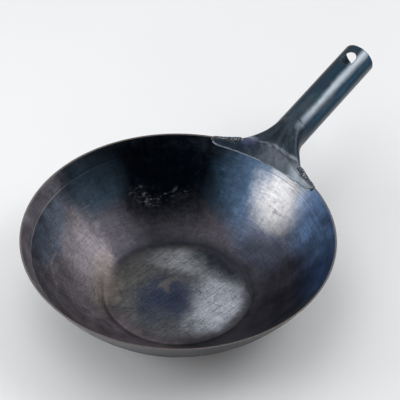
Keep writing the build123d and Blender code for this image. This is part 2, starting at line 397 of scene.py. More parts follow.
# the left side of the wall in the same terms, and the places with dry residue
LEFT_patch = (-104, 96, 150, 74, 48)
CHALK_patches = (
    (73, 83, 36, 9, -48),
    (-24, 113, 46, 13, 12),
    (-66, 96, 38, 13, 34),
    (124, -34, 30, 26, 0),
)
# distances from the axis and heights in mm over which one look of the bowl gives way to the next
BLUE_reach = (98, 126)
SMOKE_reach = (52, 68)
BAND_heights = (62.8, 64.4)
# heights in mm over which painted shade darkens the outside towards the floor
OUTSIDE_SHADE_heights = (44, 76)
EDGE_heights = (77.3, 77.9)
# height in mm of the crease, along which a painted highlight runs on the left
CREASE_height = 64.2
# radius in mm of the dark deposit and painted shade on the bend at the back
SOOT_AND_SHADE_radius = 71
# radius in mm of the painted shade on the bend
BEND_radius = 70.5
# direction in degrees of the brush strokes, and direction and seed of each set of nicks
BRUSH_degrees = -7
NICK_sets = ((-38, 11), (12, 12), (58, 13), (-80, 14))
NICK_grain = (1, 2, 0.5)
# way from the lit side of the outside to its side with painted shade
SHADE_way = (0.61, -0.79, 0)
# colours of single marks
DASH_tone = (0.018, 0.019, 0.024)
# dark deposit and painted shade on the bend at the back
SOOT_AND_SHADE_tone = (0.024, 0.027, 0.034)
NICK_tone = (0.016, 0.017, 0.021)


class BowlSteel(Finish):
    """Heat-blued and worn steel of the bowl, with a painted highlight, painted reflections and painted
    shade.
    """

    def __init__(self, finish):
        super().__init__("bowl_steel")
        self.finish = finish
        self.flat = self.joined(self.x, self.y)
        self.radius = self.vector("LENGTH", self.flat)
        self.ray = self.vector("NORMALIZE", self.flat)
        self.loose = self.vector("MULTIPLY", self.drifted(self.flat, "drift", 20), (1, 1, 0))
        self.raw = self.roughened("ragged", 1.1)
        self.reach = self.plus(self.vector("LENGTH", self.loose), self.times(self.ragged, 5.0))
        self.blotch = self.pattern("blotch")
        self.fine = self.pattern("fine")
        self.left = self.patch(self.loose, LEFT_patch)
        self.band = self.times(self.step(self.z, *BAND_heights), self.left)
        self.arcs = self.pattern("arcs", self.ring_place(7, 0.42))
        self.spokes = self.pattern("spokes", self.ring_place(34, 0.06))
        self.thin = self.times(self.near(self.arcs, 0.46, 0.0, 0.012), self.step(self.blotch, 0.40, 0.55))

    def ring_place(self, finer_round, finer_out):
        """Places for a noise that is drawn out round the bowl or towards its rim."""
        out = self.joined(0.0, 0.0, self.times(self.radius, finer_out))
        return self.vector("ADD", self.scaled(self.ray, finer_round), out)

    def brushed(self, place, degrees, finer_along, finer_across, grain):
        """Noise drawn out along one direction of the plan."""
        turn = radians(degrees)
        along = self.dot(place, (cos(turn) * finer_along, sin(turn) * finer_along, 0))
        across = self.dot(place, (-sin(turn) * finer_across, cos(turn) * finer_across, 0))
        return self.grain(self.joined(along, across), *grain)[0]

    def wall(self):
        """Brown below and blue-black above, with patches (some of them a painted highlight and painted
        reflections), a matt band, spun arcs and thin dark lines.
        """
        finish = self.finish
        wall = self.laid(finish.brown_grey, finish.blue_black, self.step(self.reach, *BLUE_reach))
        wall = self.patched(wall, self.loose, BOWL_patches)
        wall = self.laid(wall, finish.band_grey, self.band, 0.9)
        wall = self.toned(self.toned(wall, self.arcs, 0.10), self.spokes, 0.10)
        return self.dimmed(wall, self.times(self.thin, 0.55))

    def bottom(self):
        """Worn floor with patches, brush strokes, arcs, dark dashes and smoke towards the wall."""
        bottom = self.patched(self.finish.floor_steel, self.loose, FLOOR_patches)
        strokes = self.brushed(self.flat, BRUSH_degrees, 0.03, 0.55, GRAINS["strokes"])
        bottom = self.toned(self.toned(bottom, strokes, 0.20), self.arcs, 0.18)
        dashes = self.brushed(self.flat, BRUSH_degrees, 0.07, 0.8, GRAINS["dashes"])
        few = self.step(self.raw, 0.40, 0.55)
        bottom = self.laid(bottom, DASH_tone, self.step(dashes, 0.57, 0.64), few, 0.75)
        smoke = self.times(self.step(self.reach, *SMOKE_reach), self.step(self.arcs, 0.40, 0.56))
        return self.dimmed(bottom, self.times(smoke, 0.45))

    def inner(self):
        """Floor and wall joined over the bend, with dark deposit and painted shade on it, and nicks all
        over.
        """
        low = self.step(self.left, 0.1, 0.6, 58, 50)
        high = self.step(self.left, 0.1, 0.6, 73, 78)
        base = self.laid(self.bottom(), self.wall(), self.step(self.reach, low, high))
        # dark deposit and painted shade on the bend at the back, which keeps the lamp's reflection there
        # dark
        soot_and_shade = self.near(self.reach, SOOT_AND_SHADE_radius, 1, 8, 0.8)
        base = self.laid(base, SOOT_AND_SHADE_tone, soot_and_shade, self.step(self.x, -30, 40))
        # painted shade on the front-left bend, which takes out the lamp's reflection there
        bend = self.near(self.radius, BEND_radius, 1, 12, 0.55)
        front = self.times(self.step(self.x, 25, -35), self.step(self.y, 80, 40))
        base = self.dimmed(base, self.times(bend, front))
        fewer = self.step(self.radius, 60, 92, 0.6, 0.25)
        for degrees, seed in NICK_sets:
            nick = self.brushed(self.loose, degrees, 0.032, 0.75, (*NICK_grain, seed))
            base = self.laid(base, NICK_tone, self.step(nick, 0.63, 0.69), fewer)
        return base

    def residue(self):
        """Share of dry pale residue: flecks in a few places and single specks all over."""
        chalk = 0.0
        for spot in CHALK_patches:
            chalk = self.math("MAXIMUM", chalk, self.patch(self.loose, spot))
        flecks = self.step(self.pattern("flecks", self.ring_place(15, 0.5)), 0.52, 0.60)
        flecks = self.times(flecks, self.step(self.raw, 0.42, 0.56))
        specks = self.step(self.pattern("specks"), 0.70, 0.75)
        return self.math("MAXIMUM", self.times(chalk, flecks), self.times(specks, 0.35))

    def whole(self):
        """The material with its inside, its outside with painted shade, its edge and a painted highlight
        along the crease.
        """
        finish = self.finish
        facing = self.parts(self.node("ShaderNodeNewGeometry").outputs["Normal"])[2]
        inside = self.step(facing, -0.05, 0.05)
        # painted shade: the outside darker on its side away from the lamps and towards the floor
        side = self.step(self.dot(self.flat, SHADE_way), -62, 48)
        outside = self.laid(finish.outside_grey, finish.outside_shade, side)
        outside = self.scaled(outside, self.step(self.z, *OUTSIDE_SHADE_heights, 0.25, 1.0))
        base = self.laid(outside, self.inner(), inside)
        base = self.toned(self.toned(base, self.blotch, 0.20), self.fine, 0.14, 0.25)
        chalk = self.times(self.residue(), inside)
        base = self.laid(base, finish.chalk, chalk, self.step(self.x, 20, 70, 0.75, 0.42))
        # painted highlight: a fine pale line along the crease, on the left side only
        crease = self.near(self.z, CREASE_height, 0.1, 0.8, 0.5)
        base = self.laid(base, finish.chalk, crease, self.left)
        worn = self.step(self.fine, 0.3, 0.6, 0.5, 0.95)
        base = self.laid(base, finish.rim_edge, self.step(self.z, *EDGE_heights), worn)
        rough = self.step(self.blotch, 0.3, 0.7, 0.36, 0.46)
        rough = self.plus(rough, self.weighed((chalk, 0.25), (self.band, 0.08)))
        lines = self.weighed((self.arcs, 0.2), (self.spokes, 0.12), (self.thin, -0.15))
        return self.steel(base, rough, self.plus(lines, self.times(self.fine, 0.25)), 0.3, 0.2)


# along the tube from the rim, across it, half sizes and turn of each patch as above: temper colours, and
# one painted highlight near the end
TUBE_patches = (
    (66, -6, 22, 7, 0, (0.060, 0.072, 0.084), 0.7),
    (78, -5, 16, 5, 5.73, (0.020, 0.056, 0.066), 0.6),
    (96, -6, 14, 4, 5.73, (0.042, 0.040, 0.072), 0.5),
    (78, 5, 22, 5, 0, (0.150, 0.165, 0.190), 0.6),
    (140, -8, 16, 6, 0, (0.050, 0.050, 0.050), 0.6),
    # painted highlight: the tube's highlight made brighter towards its end
    (146, 3, 20, 5, 0, (0.250, 0.270, 0.300), 0.7),
)
# patches on the fan and the lap, as above
LAP_patches = (
    # dark fan colour, with painted shade in the hollow behind the fold's crest
    (166, 0, 44, 15, 90, (0.027, 0.036, 0.047), 0.9),
    (142, 40, 40, 17, 105, (0.016, 0.027, 0.042), 0.92),
    (149, 28, 14, 5, 105, (0.100, 0.100, 0.200), 0.55),
    (141, -49, 26, 13, 75, (0.270, 0.300, 0.340), 0.8),
)
# where the tube's axis starts in mm, and the ways along the tube and across its stripes
TUBE_start = (150.0, 0.0, 77.9)
TUBE_along = (0.982, 0.0, 0.189)
TUBE_across = (0.095, -0.864, -0.495)
# distances from the bowl's axis in mm over which the fan and the fold give way to the next look
FAN_places = (176, 214)
FOLD_places = (151, 157)
CREST_place = 153.5
# painted reflection: the tube's far edge lighter, as it mirrors the pale floor
SIDE_REFLECTION_tone = (0.10, 0.11, 0.125)
# dark colour of the fan, which also lays painted shade over the tube's highlight at the root
FAN_tone = (0.046, 0.060, 0.077)
# colour of the painted highlight along the fold's crest
CREST_HIGHLIGHT_tone = (0.230, 0.262, 0.300)


def handle_steel(finish):
    """Heat-blued steel of the handle: stripes along it, which are temper colours with a painted highlight
    and painted reflections, temper patches and a painted highlight near the end, painted shade on the
    fan, a painted highlight on the fold's crest, drawn lines and worn edges.
    """
    mat = Finish("handle_steel")
    wear = mat.node("ShaderNodeAttribute", attribute_name="edge_wear").outputs["Fac"]
    raw = mat.roughened("handle ragged", 0.8)
    loose = mat.drifted(mat.place, "handle drift", 5.0)
    from_rim = mat.vector("SUBTRACT", loose, TUBE_start)
    along, across = mat.dot(from_rim, TUBE_along), mat.dot(from_rim, TUBE_across)
    # stripes along the tube: temper colours with a painted highlight on the light top stripe, painted
    # dark reflections on the sides and a painted reflection of the floor on the far edge
    base = mat.laid(finish.dark_slate_and_reflection, finish.slate, mat.step(across, -6.0, -0.5))
    base = mat.laid(base, finish.slate_blue, mat.step(across, 4.0, 7.0))
    base = mat.laid(base, finish.dark_slate_and_reflection, mat.step(across, 9.0, 12.0))
    base = mat.laid(base, SIDE_REFLECTION_tone, mat.step(across, 13.0, 16.0, 0.0, 0.7))
    base = mat.patched(base, mat.joined(along, across), TUBE_patches)
    out = mat.parts(loose)[0]
    # the fan's dark colour, and painted shade that fades the tube's highlight towards the root
    base = mat.laid(base, FAN_tone, mat.step(out, *FAN_places, 0.9, 0.0))
    fold = mat.step(out, *FOLD_places, 1.0, 0.0)
    base = mat.laid(base, finish.lap_grey, fold)
    base = mat.patched(base, mat.vector("MULTIPLY", loose, (1, 1, 0)), LAP_patches)
    # painted highlight: a pale, ragged line along the fold's crest
    crest = mat.near(out, CREST_place, 0.4, 3.2)
    base = mat.laid(base, CREST_HIGHLIGHT_tone, crest, mat.step(raw, 0.40, 0.58, 0.15, 0.8))
    mottled = mat.times(fold, mat.minus(raw, 0.5))
    base = mat.scaled(base, mat.step(mottled, -0.14, 0.14, 0.80, 1.20))
    drawn = mat.pattern("drawn lines", mat.vector("MULTIPLY", mat.place, (0.02, 0.9, 0.9)))
    blotch, fine = mat.pattern("handle blotch"), mat.pattern("handle fine")
    base = mat.toned(mat.toned(mat.toned(base, drawn, 0.07), blotch, 0.14), fine, 0.07, 0.25)
    nicks = mat.step(mat.pattern("handle nicks"), 0.68, 0.74)
    base = mat.laid(base, finish.bare_edge, nicks, 0.3)
    base = mat.laid(base, finish.bare_edge, wear, mat.step(fine, 0.38, 0.6, 0.25, 0.85))
    rough = mat.plus(mat.step(blotch, 0.3, 0.7, 0.34, 0.38), mat.times(fold, 0.08))
    return mat.steel(base, rough, mat.weighed((drawn, 0.2), (fine, 0.2)), 0.25, 0.12)


# heights in mm below which a bead is the lap's, the pale colour laid in the lap bead's hollows as a
# painted highlight along the lap's edge, and the colour of dark scale
LAP_BEAD_heights = (74.5, 76.0)
LAP_BEAD_HIGHLIGHT_tone = (0.150, 0.235, 0.320)
SCALE_tone = (0.055, 0.060, 0.075)


def weld_metal(finish):
    """Rough weld metal: dark scale in the hollows and bright metal on the ripples; the lap's bead is made
    pale and less metallic as a painted highlight along the lap's edge.
    """
    mat = Finish("weld_metal")
    crest = mat.node("ShaderNodeAttribute", attribute_name="crest").outputs["Fac"]
    scale, fine = mat.pattern("weld scale"), mat.pattern("weld fine")
    # painted highlight: the lap's bead is pale, rough and less metallic
    low = mat.step(mat.z, *LAP_BEAD_heights, 1.0, 0.0)
    bright = mat.times(crest, mat.step(scale, 0.47, 0.62))
    bright = mat.math("MAXIMUM", bright, mat.times(low, mat.step(scale, 0.35, 0.6, 0.6, 1.0)))
    base = mat.laid(finish.weld_dark, finish.weld_bright, bright)
    base = mat.laid(base, SCALE_tone, mat.step(scale, 0.35, 0.6, 0.5, 0.0))
    base = mat.laid(base, LAP_BEAD_HIGHLIGHT_tone, low, mat.step(scale, 0.45, 0.6, 0.55, 0.0))
    rough = mat.math("MAXIMUM", mat.step(scale, 0.3, 0.7, 0.32, 0.55), mat.times(low, 0.6))
    height = mat.plus(scale, mat.times(fine, 0.4))
    return mat.steel(base, rough, height, 0.6, 0.3, mat.minus(1.0, mat.times(low, 0.7)))


def studio_floor(studio):
    """Pale, plain floor with a faint unevenness."""
    mat = Finish("studio_floor")
    tone = mat.step(mat.pattern("floor"), 0.3, 0.7, 0.985, 1.0)
    colour_out = mat.scaled(studio.floor_colour, tone)
    return mat.ended({"Base Color": colour_out, "Roughness": 0.9, "Specular IOR Level": 0.1})


def surround(studio):
    """Soft light from all round, dimmer on one side of the room."""
    world = bpy.data.worlds.new("surround")
    world.use_nodes = True
    world.node_tree.nodes.clear()
    room = Tree(world.node_tree)
    way = room.node("ShaderNodeTexCoord").outputs["Generated"]
    bright = (cos(studio.bright_side), sin(studio.bright_side), 0.0)
    share = room.step(room.dot(way, bright), -0.9, 0.8)
    tone = room.laid(studio.surround_dim, studio.surround, share)
    light = room.node("ShaderNodeBackground", {"Color": tone})
    room.node("ShaderNodeOutputWorld", {"Surface": light.outputs[0]})
    return world


def new_piece(name, points, edges=(), faces=()):
    """A mesh object in the scene, its place in its mesh."""
    mesh = bpy.data.meshes.new(name)
    mesh.from_pydata(points, edges, faces)
    piece = bpy.data.objects.new(name, mesh)
    bpy.context.scene.collection.objects.link(piece)
    return piece


def made_plain(piece):
    """Keeps what the piece's modifier makes of it as its plain mesh."""
    view = bpy.context.evaluated_depsgraph_get()
    result = bpy.data.meshes.new_from_object(piece.evaluated_get(view))
    piece.modifiers.clear()
    piece.data = result
    result.name = piece.name


def grown(piece, tree, values):
    """Runs a Geometry Nodes tree on the piece, and turns the faces of the closed result outwards."""
    modifier = piece.modifiers.new(tree.name, "NODES")
    modifier.node_group = tree
    for socket in tree.interface.items_tree:
        if socket.name in values:
            modifier[socket.identifier] = values[socket.name]
    made_plain(piece)
    shape = bmesh.new()
    shape.from_mesh(piece.data)
    if shape.calc_volume(signed=True) < 0:
        bmesh.ops.reverse_faces(shape, faces=shape.faces)
    shape.to_mesh(piece.data)
    shape.free()


def new_tree(name, inputs):
    """A Geometry Nodes tree with named inputs; returns its builder, its inputs' sockets and its end."""
    group = bpy.data.node_groups.new(name, "GeometryNodeTree")
    group.interface.new_socket("Geometry", in_out="INPUT", socket_type="NodeSocketGeometry")
    for socket_name, kind in inputs.items():
        group.interface.new_socket(socket_name, in_out="INPUT", socket_type="NodeSocket" + kind)
    group.interface.new_socket("Geometry", in_out="OUTPUT", socket_type="NodeSocketGeometry")
    tree = Tree(group)
    return tree, tree.node("NodeGroupInput").outputs, tree.node("NodeGroupOutput")


def close_tree(tree, shape, material, end):
    """Ends a tree in smooth shading, Realize Instances and Set Material."""
    real = tree.made("RealizeInstances", {0: tree.made("SetShadeSmooth", {"Geometry": shape})})
    tree.put(end.inputs[0], tree.made("SetMaterial", {"Geometry": real, "Material": material}))
    return tree.tree


# the wall's unevenness starts outside the floor, fades towards the rim and pushes away from a point
WALL_seed = 3.0
UNEVEN_start = 1.25
UNEVEN_heights = (64 * MM, 77 * MM)
PUSH_centre = (0, 0, 120 * MM)


def spun_bowl_tree():
    """Spins a profile of points round Z, merges its seam and poles and makes the wall a little uneven."""
    tree, given, end = new_tree("Spun bowl", {
        "Profile points": "Int", "Steps round": "Int", "Waviness": "Float",
        "Wave length": "Float", "Flat radius": "Float", "Seed": "Float", "Material": "Material",
    })
    rows, steps = given["Profile points"], given["Steps round"]
    here = tree.made("InputPosition")
    grid = tree.made("MeshGrid", {"Vertices X": tree.plus(steps, 1.0), "Vertices Y": rows})
    index = tree.made("InputIndex")
    column = tree.math("FLOOR", tree.math("DIVIDE", tree.plus(index, 0.5), rows))
    row = tree.minus(index, tree.times(column, rows))
    angle = tree.times(tree.math("DIVIDE", column, steps), 2 * pi)
    sample = {"Geometry": given["Geometry"], "Value": here, "Index": row}
    point = tree.made("SampleIndex", sample, data_type="FLOAT_VECTOR", domain="POINT")
    radius, _, height = tree.parts(point)
    across, along = (tree.times(radius, tree.math(wave, angle)) for wave in ("COSINE", "SINE"))
    spin = tree.made("SetPosition", {"Geometry": grid, "Position": tree.joined(across, along, height)})
    merge = tree.made("MergeByDistance", {"Geometry": spin, "Distance": 1e-6})
    waves = tree.grain(here, tree.math("DIVIDE", 1.0, given["Wave length"]), 2, 0.5, given["Seed"])[0]
    away = tree.vector("LENGTH", tree.vector("MULTIPLY", here, (1, 1, 0)))
    share = tree.step(away, given["Flat radius"], tree.times(given["Flat radius"], UNEVEN_start))
    share = tree.times(share, tree.step(tree.parts(here)[2], *UNEVEN_heights, 1.0, 0.3))
    push = tree.times(tree.minus(waves, 0.5), given["Waviness"])
    outward = tree.vector("NORMALIZE", tree.vector("SUBTRACT", here, PUSH_centre))
    offset = tree.scaled(outward, tree.times(push, share))
    wave = tree.made("SetPosition", {"Geometry": merge, "Offset": offset})
    return close_tree(tree, wave, given["Material"], end)


# distance between the rings of a bead, and how far its ripples shift from even places
RING_step = 0.3 * MM
RIPPLE_sway = 1.5


def weld_bead_tree():
    """Lays a rippled, lumpy bead along a path whose points carry the bead's radius."""
    tree, given, end = new_tree("Weld bead", {
        "Ripple pitch": "Float", "Ripple depth": "Float", "Lumpiness": "Float",
        "Seed": "Float", "Material": "Material",
    })
    here = tree.made("InputPosition")
    curve = tree.made("MeshToCurve", {"Mesh": given["Geometry"]})
    even = tree.made("ResampleCurve", {"Curve": curve, "Length": RING_step}, mode="LENGTH")
    bead = tree.made("InputNamedAttribute", {"Name": "bead"}, data_type="FLOAT")
    ring = tree.made("CurvePrimitiveCircle", {"Resolution": 20, "Radius": 1 * MM})
    keep = tree.node("GeometryNodeCaptureAttribute", domain="POINT")
    keep.capture_items.new("VECTOR", "middle")
    keep.capture_items.new("FLOAT", "run")
    tree.put(keep.inputs["Geometry"], even)
    tree.put(keep.inputs["middle"], here)
    tree.put(keep.inputs["run"], tree.node("GeometryNodeSplineParameter").outputs["Length"])
    skin = tree.made("CurveToMesh", {
        "Curve": keep.outputs["Geometry"], "Profile Curve": ring, "Fill Caps": True,
    })
    middle, run = keep.outputs["middle"], keep.outputs["run"]
    sway = tree.grain(middle, 400, 1, 0.5, given["Seed"])[0]
    phase = tree.plus(tree.math("DIVIDE", run, given["Ripple pitch"]), tree.times(sway, RIPPLE_sway))
    ripple = tree.math("ABSOLUTE", tree.math("SINE", tree.times(phase, pi)))
    lumps = tree.grain(here, 500, 3, 0.6, given["Seed"])[0]
    swell = tree.times(tree.minus(lumps, 0.5), given["Lumpiness"])
    wave = tree.times(tree.minus(ripple, 0.5), given["Ripple depth"])
    size = tree.plus(tree.plus(swell, wave), 1.0)
    size = tree.times(size, tree.math("DIVIDE", bead, 1 * MM))
    place = tree.vector("ADD", middle, tree.scaled(tree.vector("SUBTRACT", here, middle), size))
    shape = tree.made("SetPosition", {"Geometry": skin, "Position": place})
    mark = tree.made("StoreNamedAttribute", {
        "Geometry": shape, "Name": "crest", "Value": tree.plus(ripple, swell),
    }, data_type="FLOAT", domain="POINT")
    return close_tree(tree, mark, given["Material"], end)


def eased(corner, back, ahead, size):
    """Points that round a corner, from a step back to a step ahead along unit directions."""
    shares = (0.0, 0.25, 0.5, 0.75, 1.0)
    return [corner + back * (1 - share) ** 2 * size + ahead * share ** 2 * size for share in shares]


# places of the profile's points as shares of the floor's radius, and on the way up the band in mm
FLOOR_shares = (0, 0.1, 0.25, 0.4, 0.55, 0.7, 0.82, 0.92)
BAND_places = (0.4, 0.8, 1.2, 1.6, 2.2, 3.0, 4.2, 5.6, 7.0, 8.5, 10.0, 11.5, 13.0)
# numbers of steps on the bend, up the wall and up the last part of it, which is 3 mm long
BEND_steps = 7
WALL_steps = 44
LAST_steps = 7
LAST_part = 3 * MM


def bowl_profile(bowl):
    """Half section of the bowl from under its middle, over the rim and back inside.

    Each point is one complex number: its radius and its height.
    """
    crease = complex(bowl.rim_radius - bowl.band_inset, bowl.height - bowl.band_height)
    chord = crease - bowl.floor_radius
    wall = (abs(chord) / 2) ** 2 / (2 * bowl.wall_bulge) + bowl.wall_bulge / 2
    centre = (crease + bowl.floor_radius) / 2 + 1j * chord / abs(chord) * (wall - bowl.wall_bulge)
    bend = bowl.floor_bend
    bend_x = centre.real + sqrt((wall - bend) ** 2 - (bend - centre.imag) ** 2)
    bend_centre = complex(bend_x, bend)
    low, high = phase(bend_centre - centre), phase(crease - centre)
    line = [(bend_x * share, 1j) for share in FLOOR_shares]
    for step in range(BEND_steps + 1):
        way = rect(1, -pi / 2 + (low + pi / 2) * step / BEND_steps)
        line.append((bend_centre + way * bend, -way))
    near = LAST_part / wall
    turns = [low + (high - near - low) * step / WALL_steps for step in range(1, WALL_steps + 1)]
    turns += [high - near + near * step / LAST_steps for step in range(1, LAST_steps + 1)]
    line += [(centre + rect(wall, turn), -rect(1, turn)) for turn in turns]
    ahead = complex(bowl.band_inset, bowl.band_height)
    slant = abs(ahead)
    ahead /= slant
    line += [(crease + ahead * up * MM, 1j * ahead) for up in BAND_places]
    inner = []
    for point, inward in line:
        spun = bowl.crease_depth * exp(-(abs(point - crease) / bowl.crease_width) ** 2)
        inner.append(point + inward * (bowl.sheet - spun))
    top = bowl.height * 1j
    lip = bowl.rim_radius - bowl.sheet * slant / bowl.band_height
    rim = eased(bowl.rim_radius + top, -ahead, -1, bowl.rim_rounding)
    rim += eased(lip + top, 1, -ahead, bowl.rim_rounding)
    return [point for point, _ in line] + rim + inner[::-1]


# share of the way to its neighbours' middle that a point goes in one pass
RELAX_share = 0.5


def relaxed(points, edges, passes):
    """Points or directions evened out with their neighbours along the mesh's edges."""
    count = np.bincount(edges.ravel(), minlength=len(points)).clip(min=1)[:, None]
    for _ in range(passes):
        total = np.zeros_like(points)
        for axis in range(3):
            total[:, axis] = np.bincount(edges[:, 0], points[edges[:, 1], axis], len(points))
            total[:, axis] += np.bincount(edges[:, 1], points[edges[:, 0], axis], len(points))
        points = points + (total / count - points) * RELAX_share
    return points


def unit(vectors):
    return vectors / np.linalg.norm(vectors, axis=1, keepdims=True).clip(min=1e-12)


def mesh_array(items, name, width, kind=np.float64):
    values = np.zeros(len(items) * width, kind)
    items.foreach_get(name, values)
    return values.reshape(-1, width)


# points of the CAD mesh that lie closer together than this are one
SAME_place = 0.002 * MM


def dense_copy(node, name, grain):
    """A closed, even and dense copy of a CAD node as a new piece."""
    piece = new_piece(name, [])
    piece.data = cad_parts[node].data.copy()
    piece.data.name = name
    shape = bmesh.new()
    shape.from_mesh(piece.data)
    bmesh.ops.remove_doubles(shape, verts=shape.verts, dist=SAME_place)
    shape.to_mesh(piece.data)
    shape.free()
    remesh = piece.modifiers.new("even mesh", "REMESH")
    remesh.mode = "VOXEL"
    remesh.voxel_size = grain
    remesh.adaptivity = 0
    made_plain(piece)
    return piece


def on_the_solid(node, points):
    """Nearest points on a CAD node and its smooth directions there."""
    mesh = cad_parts[node].data
    mesh.calc_loop_triangles()
    corners = mesh_array(mesh.vertices, "co", 3)
    triangles = mesh_array(mesh.loop_triangles, "vertices", 3, np.int32)
    loops = mesh_array(mesh.loop_triangles, "loops", 3, np.int32)
    normals = mesh_array(mesh.corner_normals, "vector", 3)
    solid = BVHTree.FromPolygons(corners.tolist(), triangles.tolist(), all_triangles=True)
    found = [solid.find_nearest(point) for point in points]
    places = np.array([tuple(hit[0]) for hit in found])
    index = np.array([hit[2] for hit in found])
    a, b, c = (corners[triangles[index, k]] for k in range(3))
    whole = np.cross(b - a, c - a)
    area = (whole * whole).sum(1).clip(min=1e-30)
    share_a = (np.cross(b - places, c - places) * whole).sum(1) / area
    share_b = (np.cross(c - places, a - places) * whole).sum(1) / area
    shares = np.stack([share_a, share_b, 1 - share_a - share_b], 1).clip(0, 1)
    directions = sum(normals[loops[index, k]] * shares[:, k:k + 1] for k in range(3))
    return places, unit(directions)


# plan of the folding marks on either half of the fan in mm: x and distance from the middle
RIDGE_line = ((186, 2.0), (179, 5.0), (170.5, 9.0), (164, 13.6), (159.6, 19.5), (155.6, 27.4))
VALLEY_line = ((168, 4.0), (161.5, 9.5), (156.6, 15.5), (151.5, 24.0), (148.5, 33.0))


def along_line(x, y, line):
    """Distance of each place from a line of points, both in mm, and how far along the line it lies."""
    best = np.full(len(x), 1e9)
    share = np.zeros(len(x))
    for count, (start, end) in enumerate(zip(line, line[1:])):
        run = np.array(end) - np.array(start)
        t = ((x - start[0]) * run[0] + (y - start[1]) * run[1]) / (run @ run)
        t = t.clip(0, 1)
        gap = np.hypot(x - start[0] - t * run[0], y - start[1] - t * run[1])
        nearer = gap < best
        best[nearer] = gap[nearer]
        share[nearer] = (count + t[nearer]) / (len(line) - 1)
    return best, share


# shift of the noise for each step of its seed
SEED_shift = (7.3, 3.1, 5.7)


def field(points, size, seed):
    """Smooth noise from -1 to 1 at each point, its places about a size apart."""
    shift = Vector(SEED_shift) * seed
    return np.array([noise.noise(Vector(point) / size + shift) for point in points])


def ramp(values, start, end):
    """Goes evenly from 0 to 1 while the values go from start to end."""
    return ((values - start) / (end - start)).clip(0, 1)


def bell(distance, width):
    """1 in the middle of a line, fading out over a width on both sides."""
    return np.exp(-(distance / width) ** 2)


# heights in mm and distances from the bowl's axis in mm over which the marks come in
MARK_heights = (76, 81)
MARK_places = (196, 184)
# half widths in mm of the ridges, the valleys and the crumpled metal, and where along it this lies
RIDGE_width = 2.0
VALLEY_width = 2.8
CRUMPLE_width = 3.2
CRUMPLE_place = 0.42
CRUMPLE_reach = 0.30
# share, size and seed of each noise in the crumpled metal and in the hammered fan
CRUMPLE_noises = ((1, 2.4 * MM, 1), (0.6, 1.2 * MM, 2))
HAMMER_noises = ((0.7, 13 * MM, 3), (0.3, 5 * MM, 4))


def fields(points, noises):
    """Sum of smooth noises of several sizes."""
    return sum(share * field(points, size, seed) for share, size, seed in noises)


def folding_marks(points, handle):
    """How far the folding, crumpling and hammering lift each point of the handle."""
    x, y, z = (points / MM).T
    lift = np.zeros(len(points))
    above = ramp(z, *MARK_heights)
    root = ramp(x, *MARK_places)
    picked = np.flatnonzero(root > 0)
    px, py, pz = x[picked], np.abs(y[picked]), points[picked]
    ridge, run = along_line(px, py, RIDGE_line)
    valley, valley_run = along_line(px, py, VALLEY_line)
    ends = ramp(run, 0.12, 0.42) * ramp(run, 1, 0.75)
    valley_ends = ramp(valley_run, 0, 0.2) * ramp(valley_run, 1, 0.75)
    rough = bell(ridge, CRUMPLE_width) * bell(run - CRUMPLE_place, CRUMPLE_reach)
    mine = handle.ridge_height * ends * bell(ridge, RIDGE_width)
    mine -= handle.valley_depth * valley_ends * bell(valley, VALLEY_width)
    mine += handle.wrinkle_depth * rough * fields(pz, CRUMPLE_noises)
    mine += handle.unevenness * fields(pz, HAMMER_noises)
    lift[picked] = mine * above[picked] * root[picked]
    return lift


# a point belongs to a tube's face if it looks along its spoke and lies close to its radius
SPOKE_likeness = 0.97
RADIUS_slack = 0.25 * MM


def tube_true(points, directions, handle):
    """Puts the tube's points on two true cylinders and turns their directions to match."""
    axis = np.array([cos(handle.rise), 0, sin(handle.rise)])
    start = np.array([BOWL_TOP.x, 0, BOWL_TOP.z - handle.axis_drop])
    start[0] = round(start[0] / MM) * MM
    along = (points - start) @ axis
    foot = start + along[:, None] * axis
    spoke = points - foot
    reach = np.linalg.norm(spoke, axis=1)
    outward = spoke / reach[:, None].clip(min=1e-9)
    straight = along > handle.straight_from
    for radius, side in ((handle.tube_radius, 1), (handle.tube_radius - handle.sheet, -1)):
        facing = (directions * outward).sum(1) * side > SPOKE_likeness
        picked = straight & facing & (abs(reach - radius) < RADIUS_slack)
        points[picked] = foot[picked] + outward[picked] * radius
        directions[picked] = outward[picked] * side
    return points, directions


# name, side and height in degrees, distance and size in metres, power in watts and tint of each lamp
LAMPS = (
    ("left window", 135, 24, 1.3, (0.65, 0.75), 6.6, (0.96, 0.98, 1.0)),
    ("back window", 46, 48, 2.0, (2.0, 1.8), 8.3, (1.0, 1.0, 1.0)),
    ("right window", -42, 50, 1.5, (0.95, 0.7), 6.5, (0.97, 0.99, 1.0)),
    ("top window", 150, 74, 1.9, (1.3, 1.3), 6.2, (1.0, 1.0, 1.0)),
    ("front window", 186, 13, 1.5, (1.3, 0.45), 4.4, (1.0, 1.0, 1.0)),
)
# half size of the floor and end of the view in metres, and width of the camera's film in mm
FLOOR_half = 4.0
VIEW_end = 50
FILM_width = 36


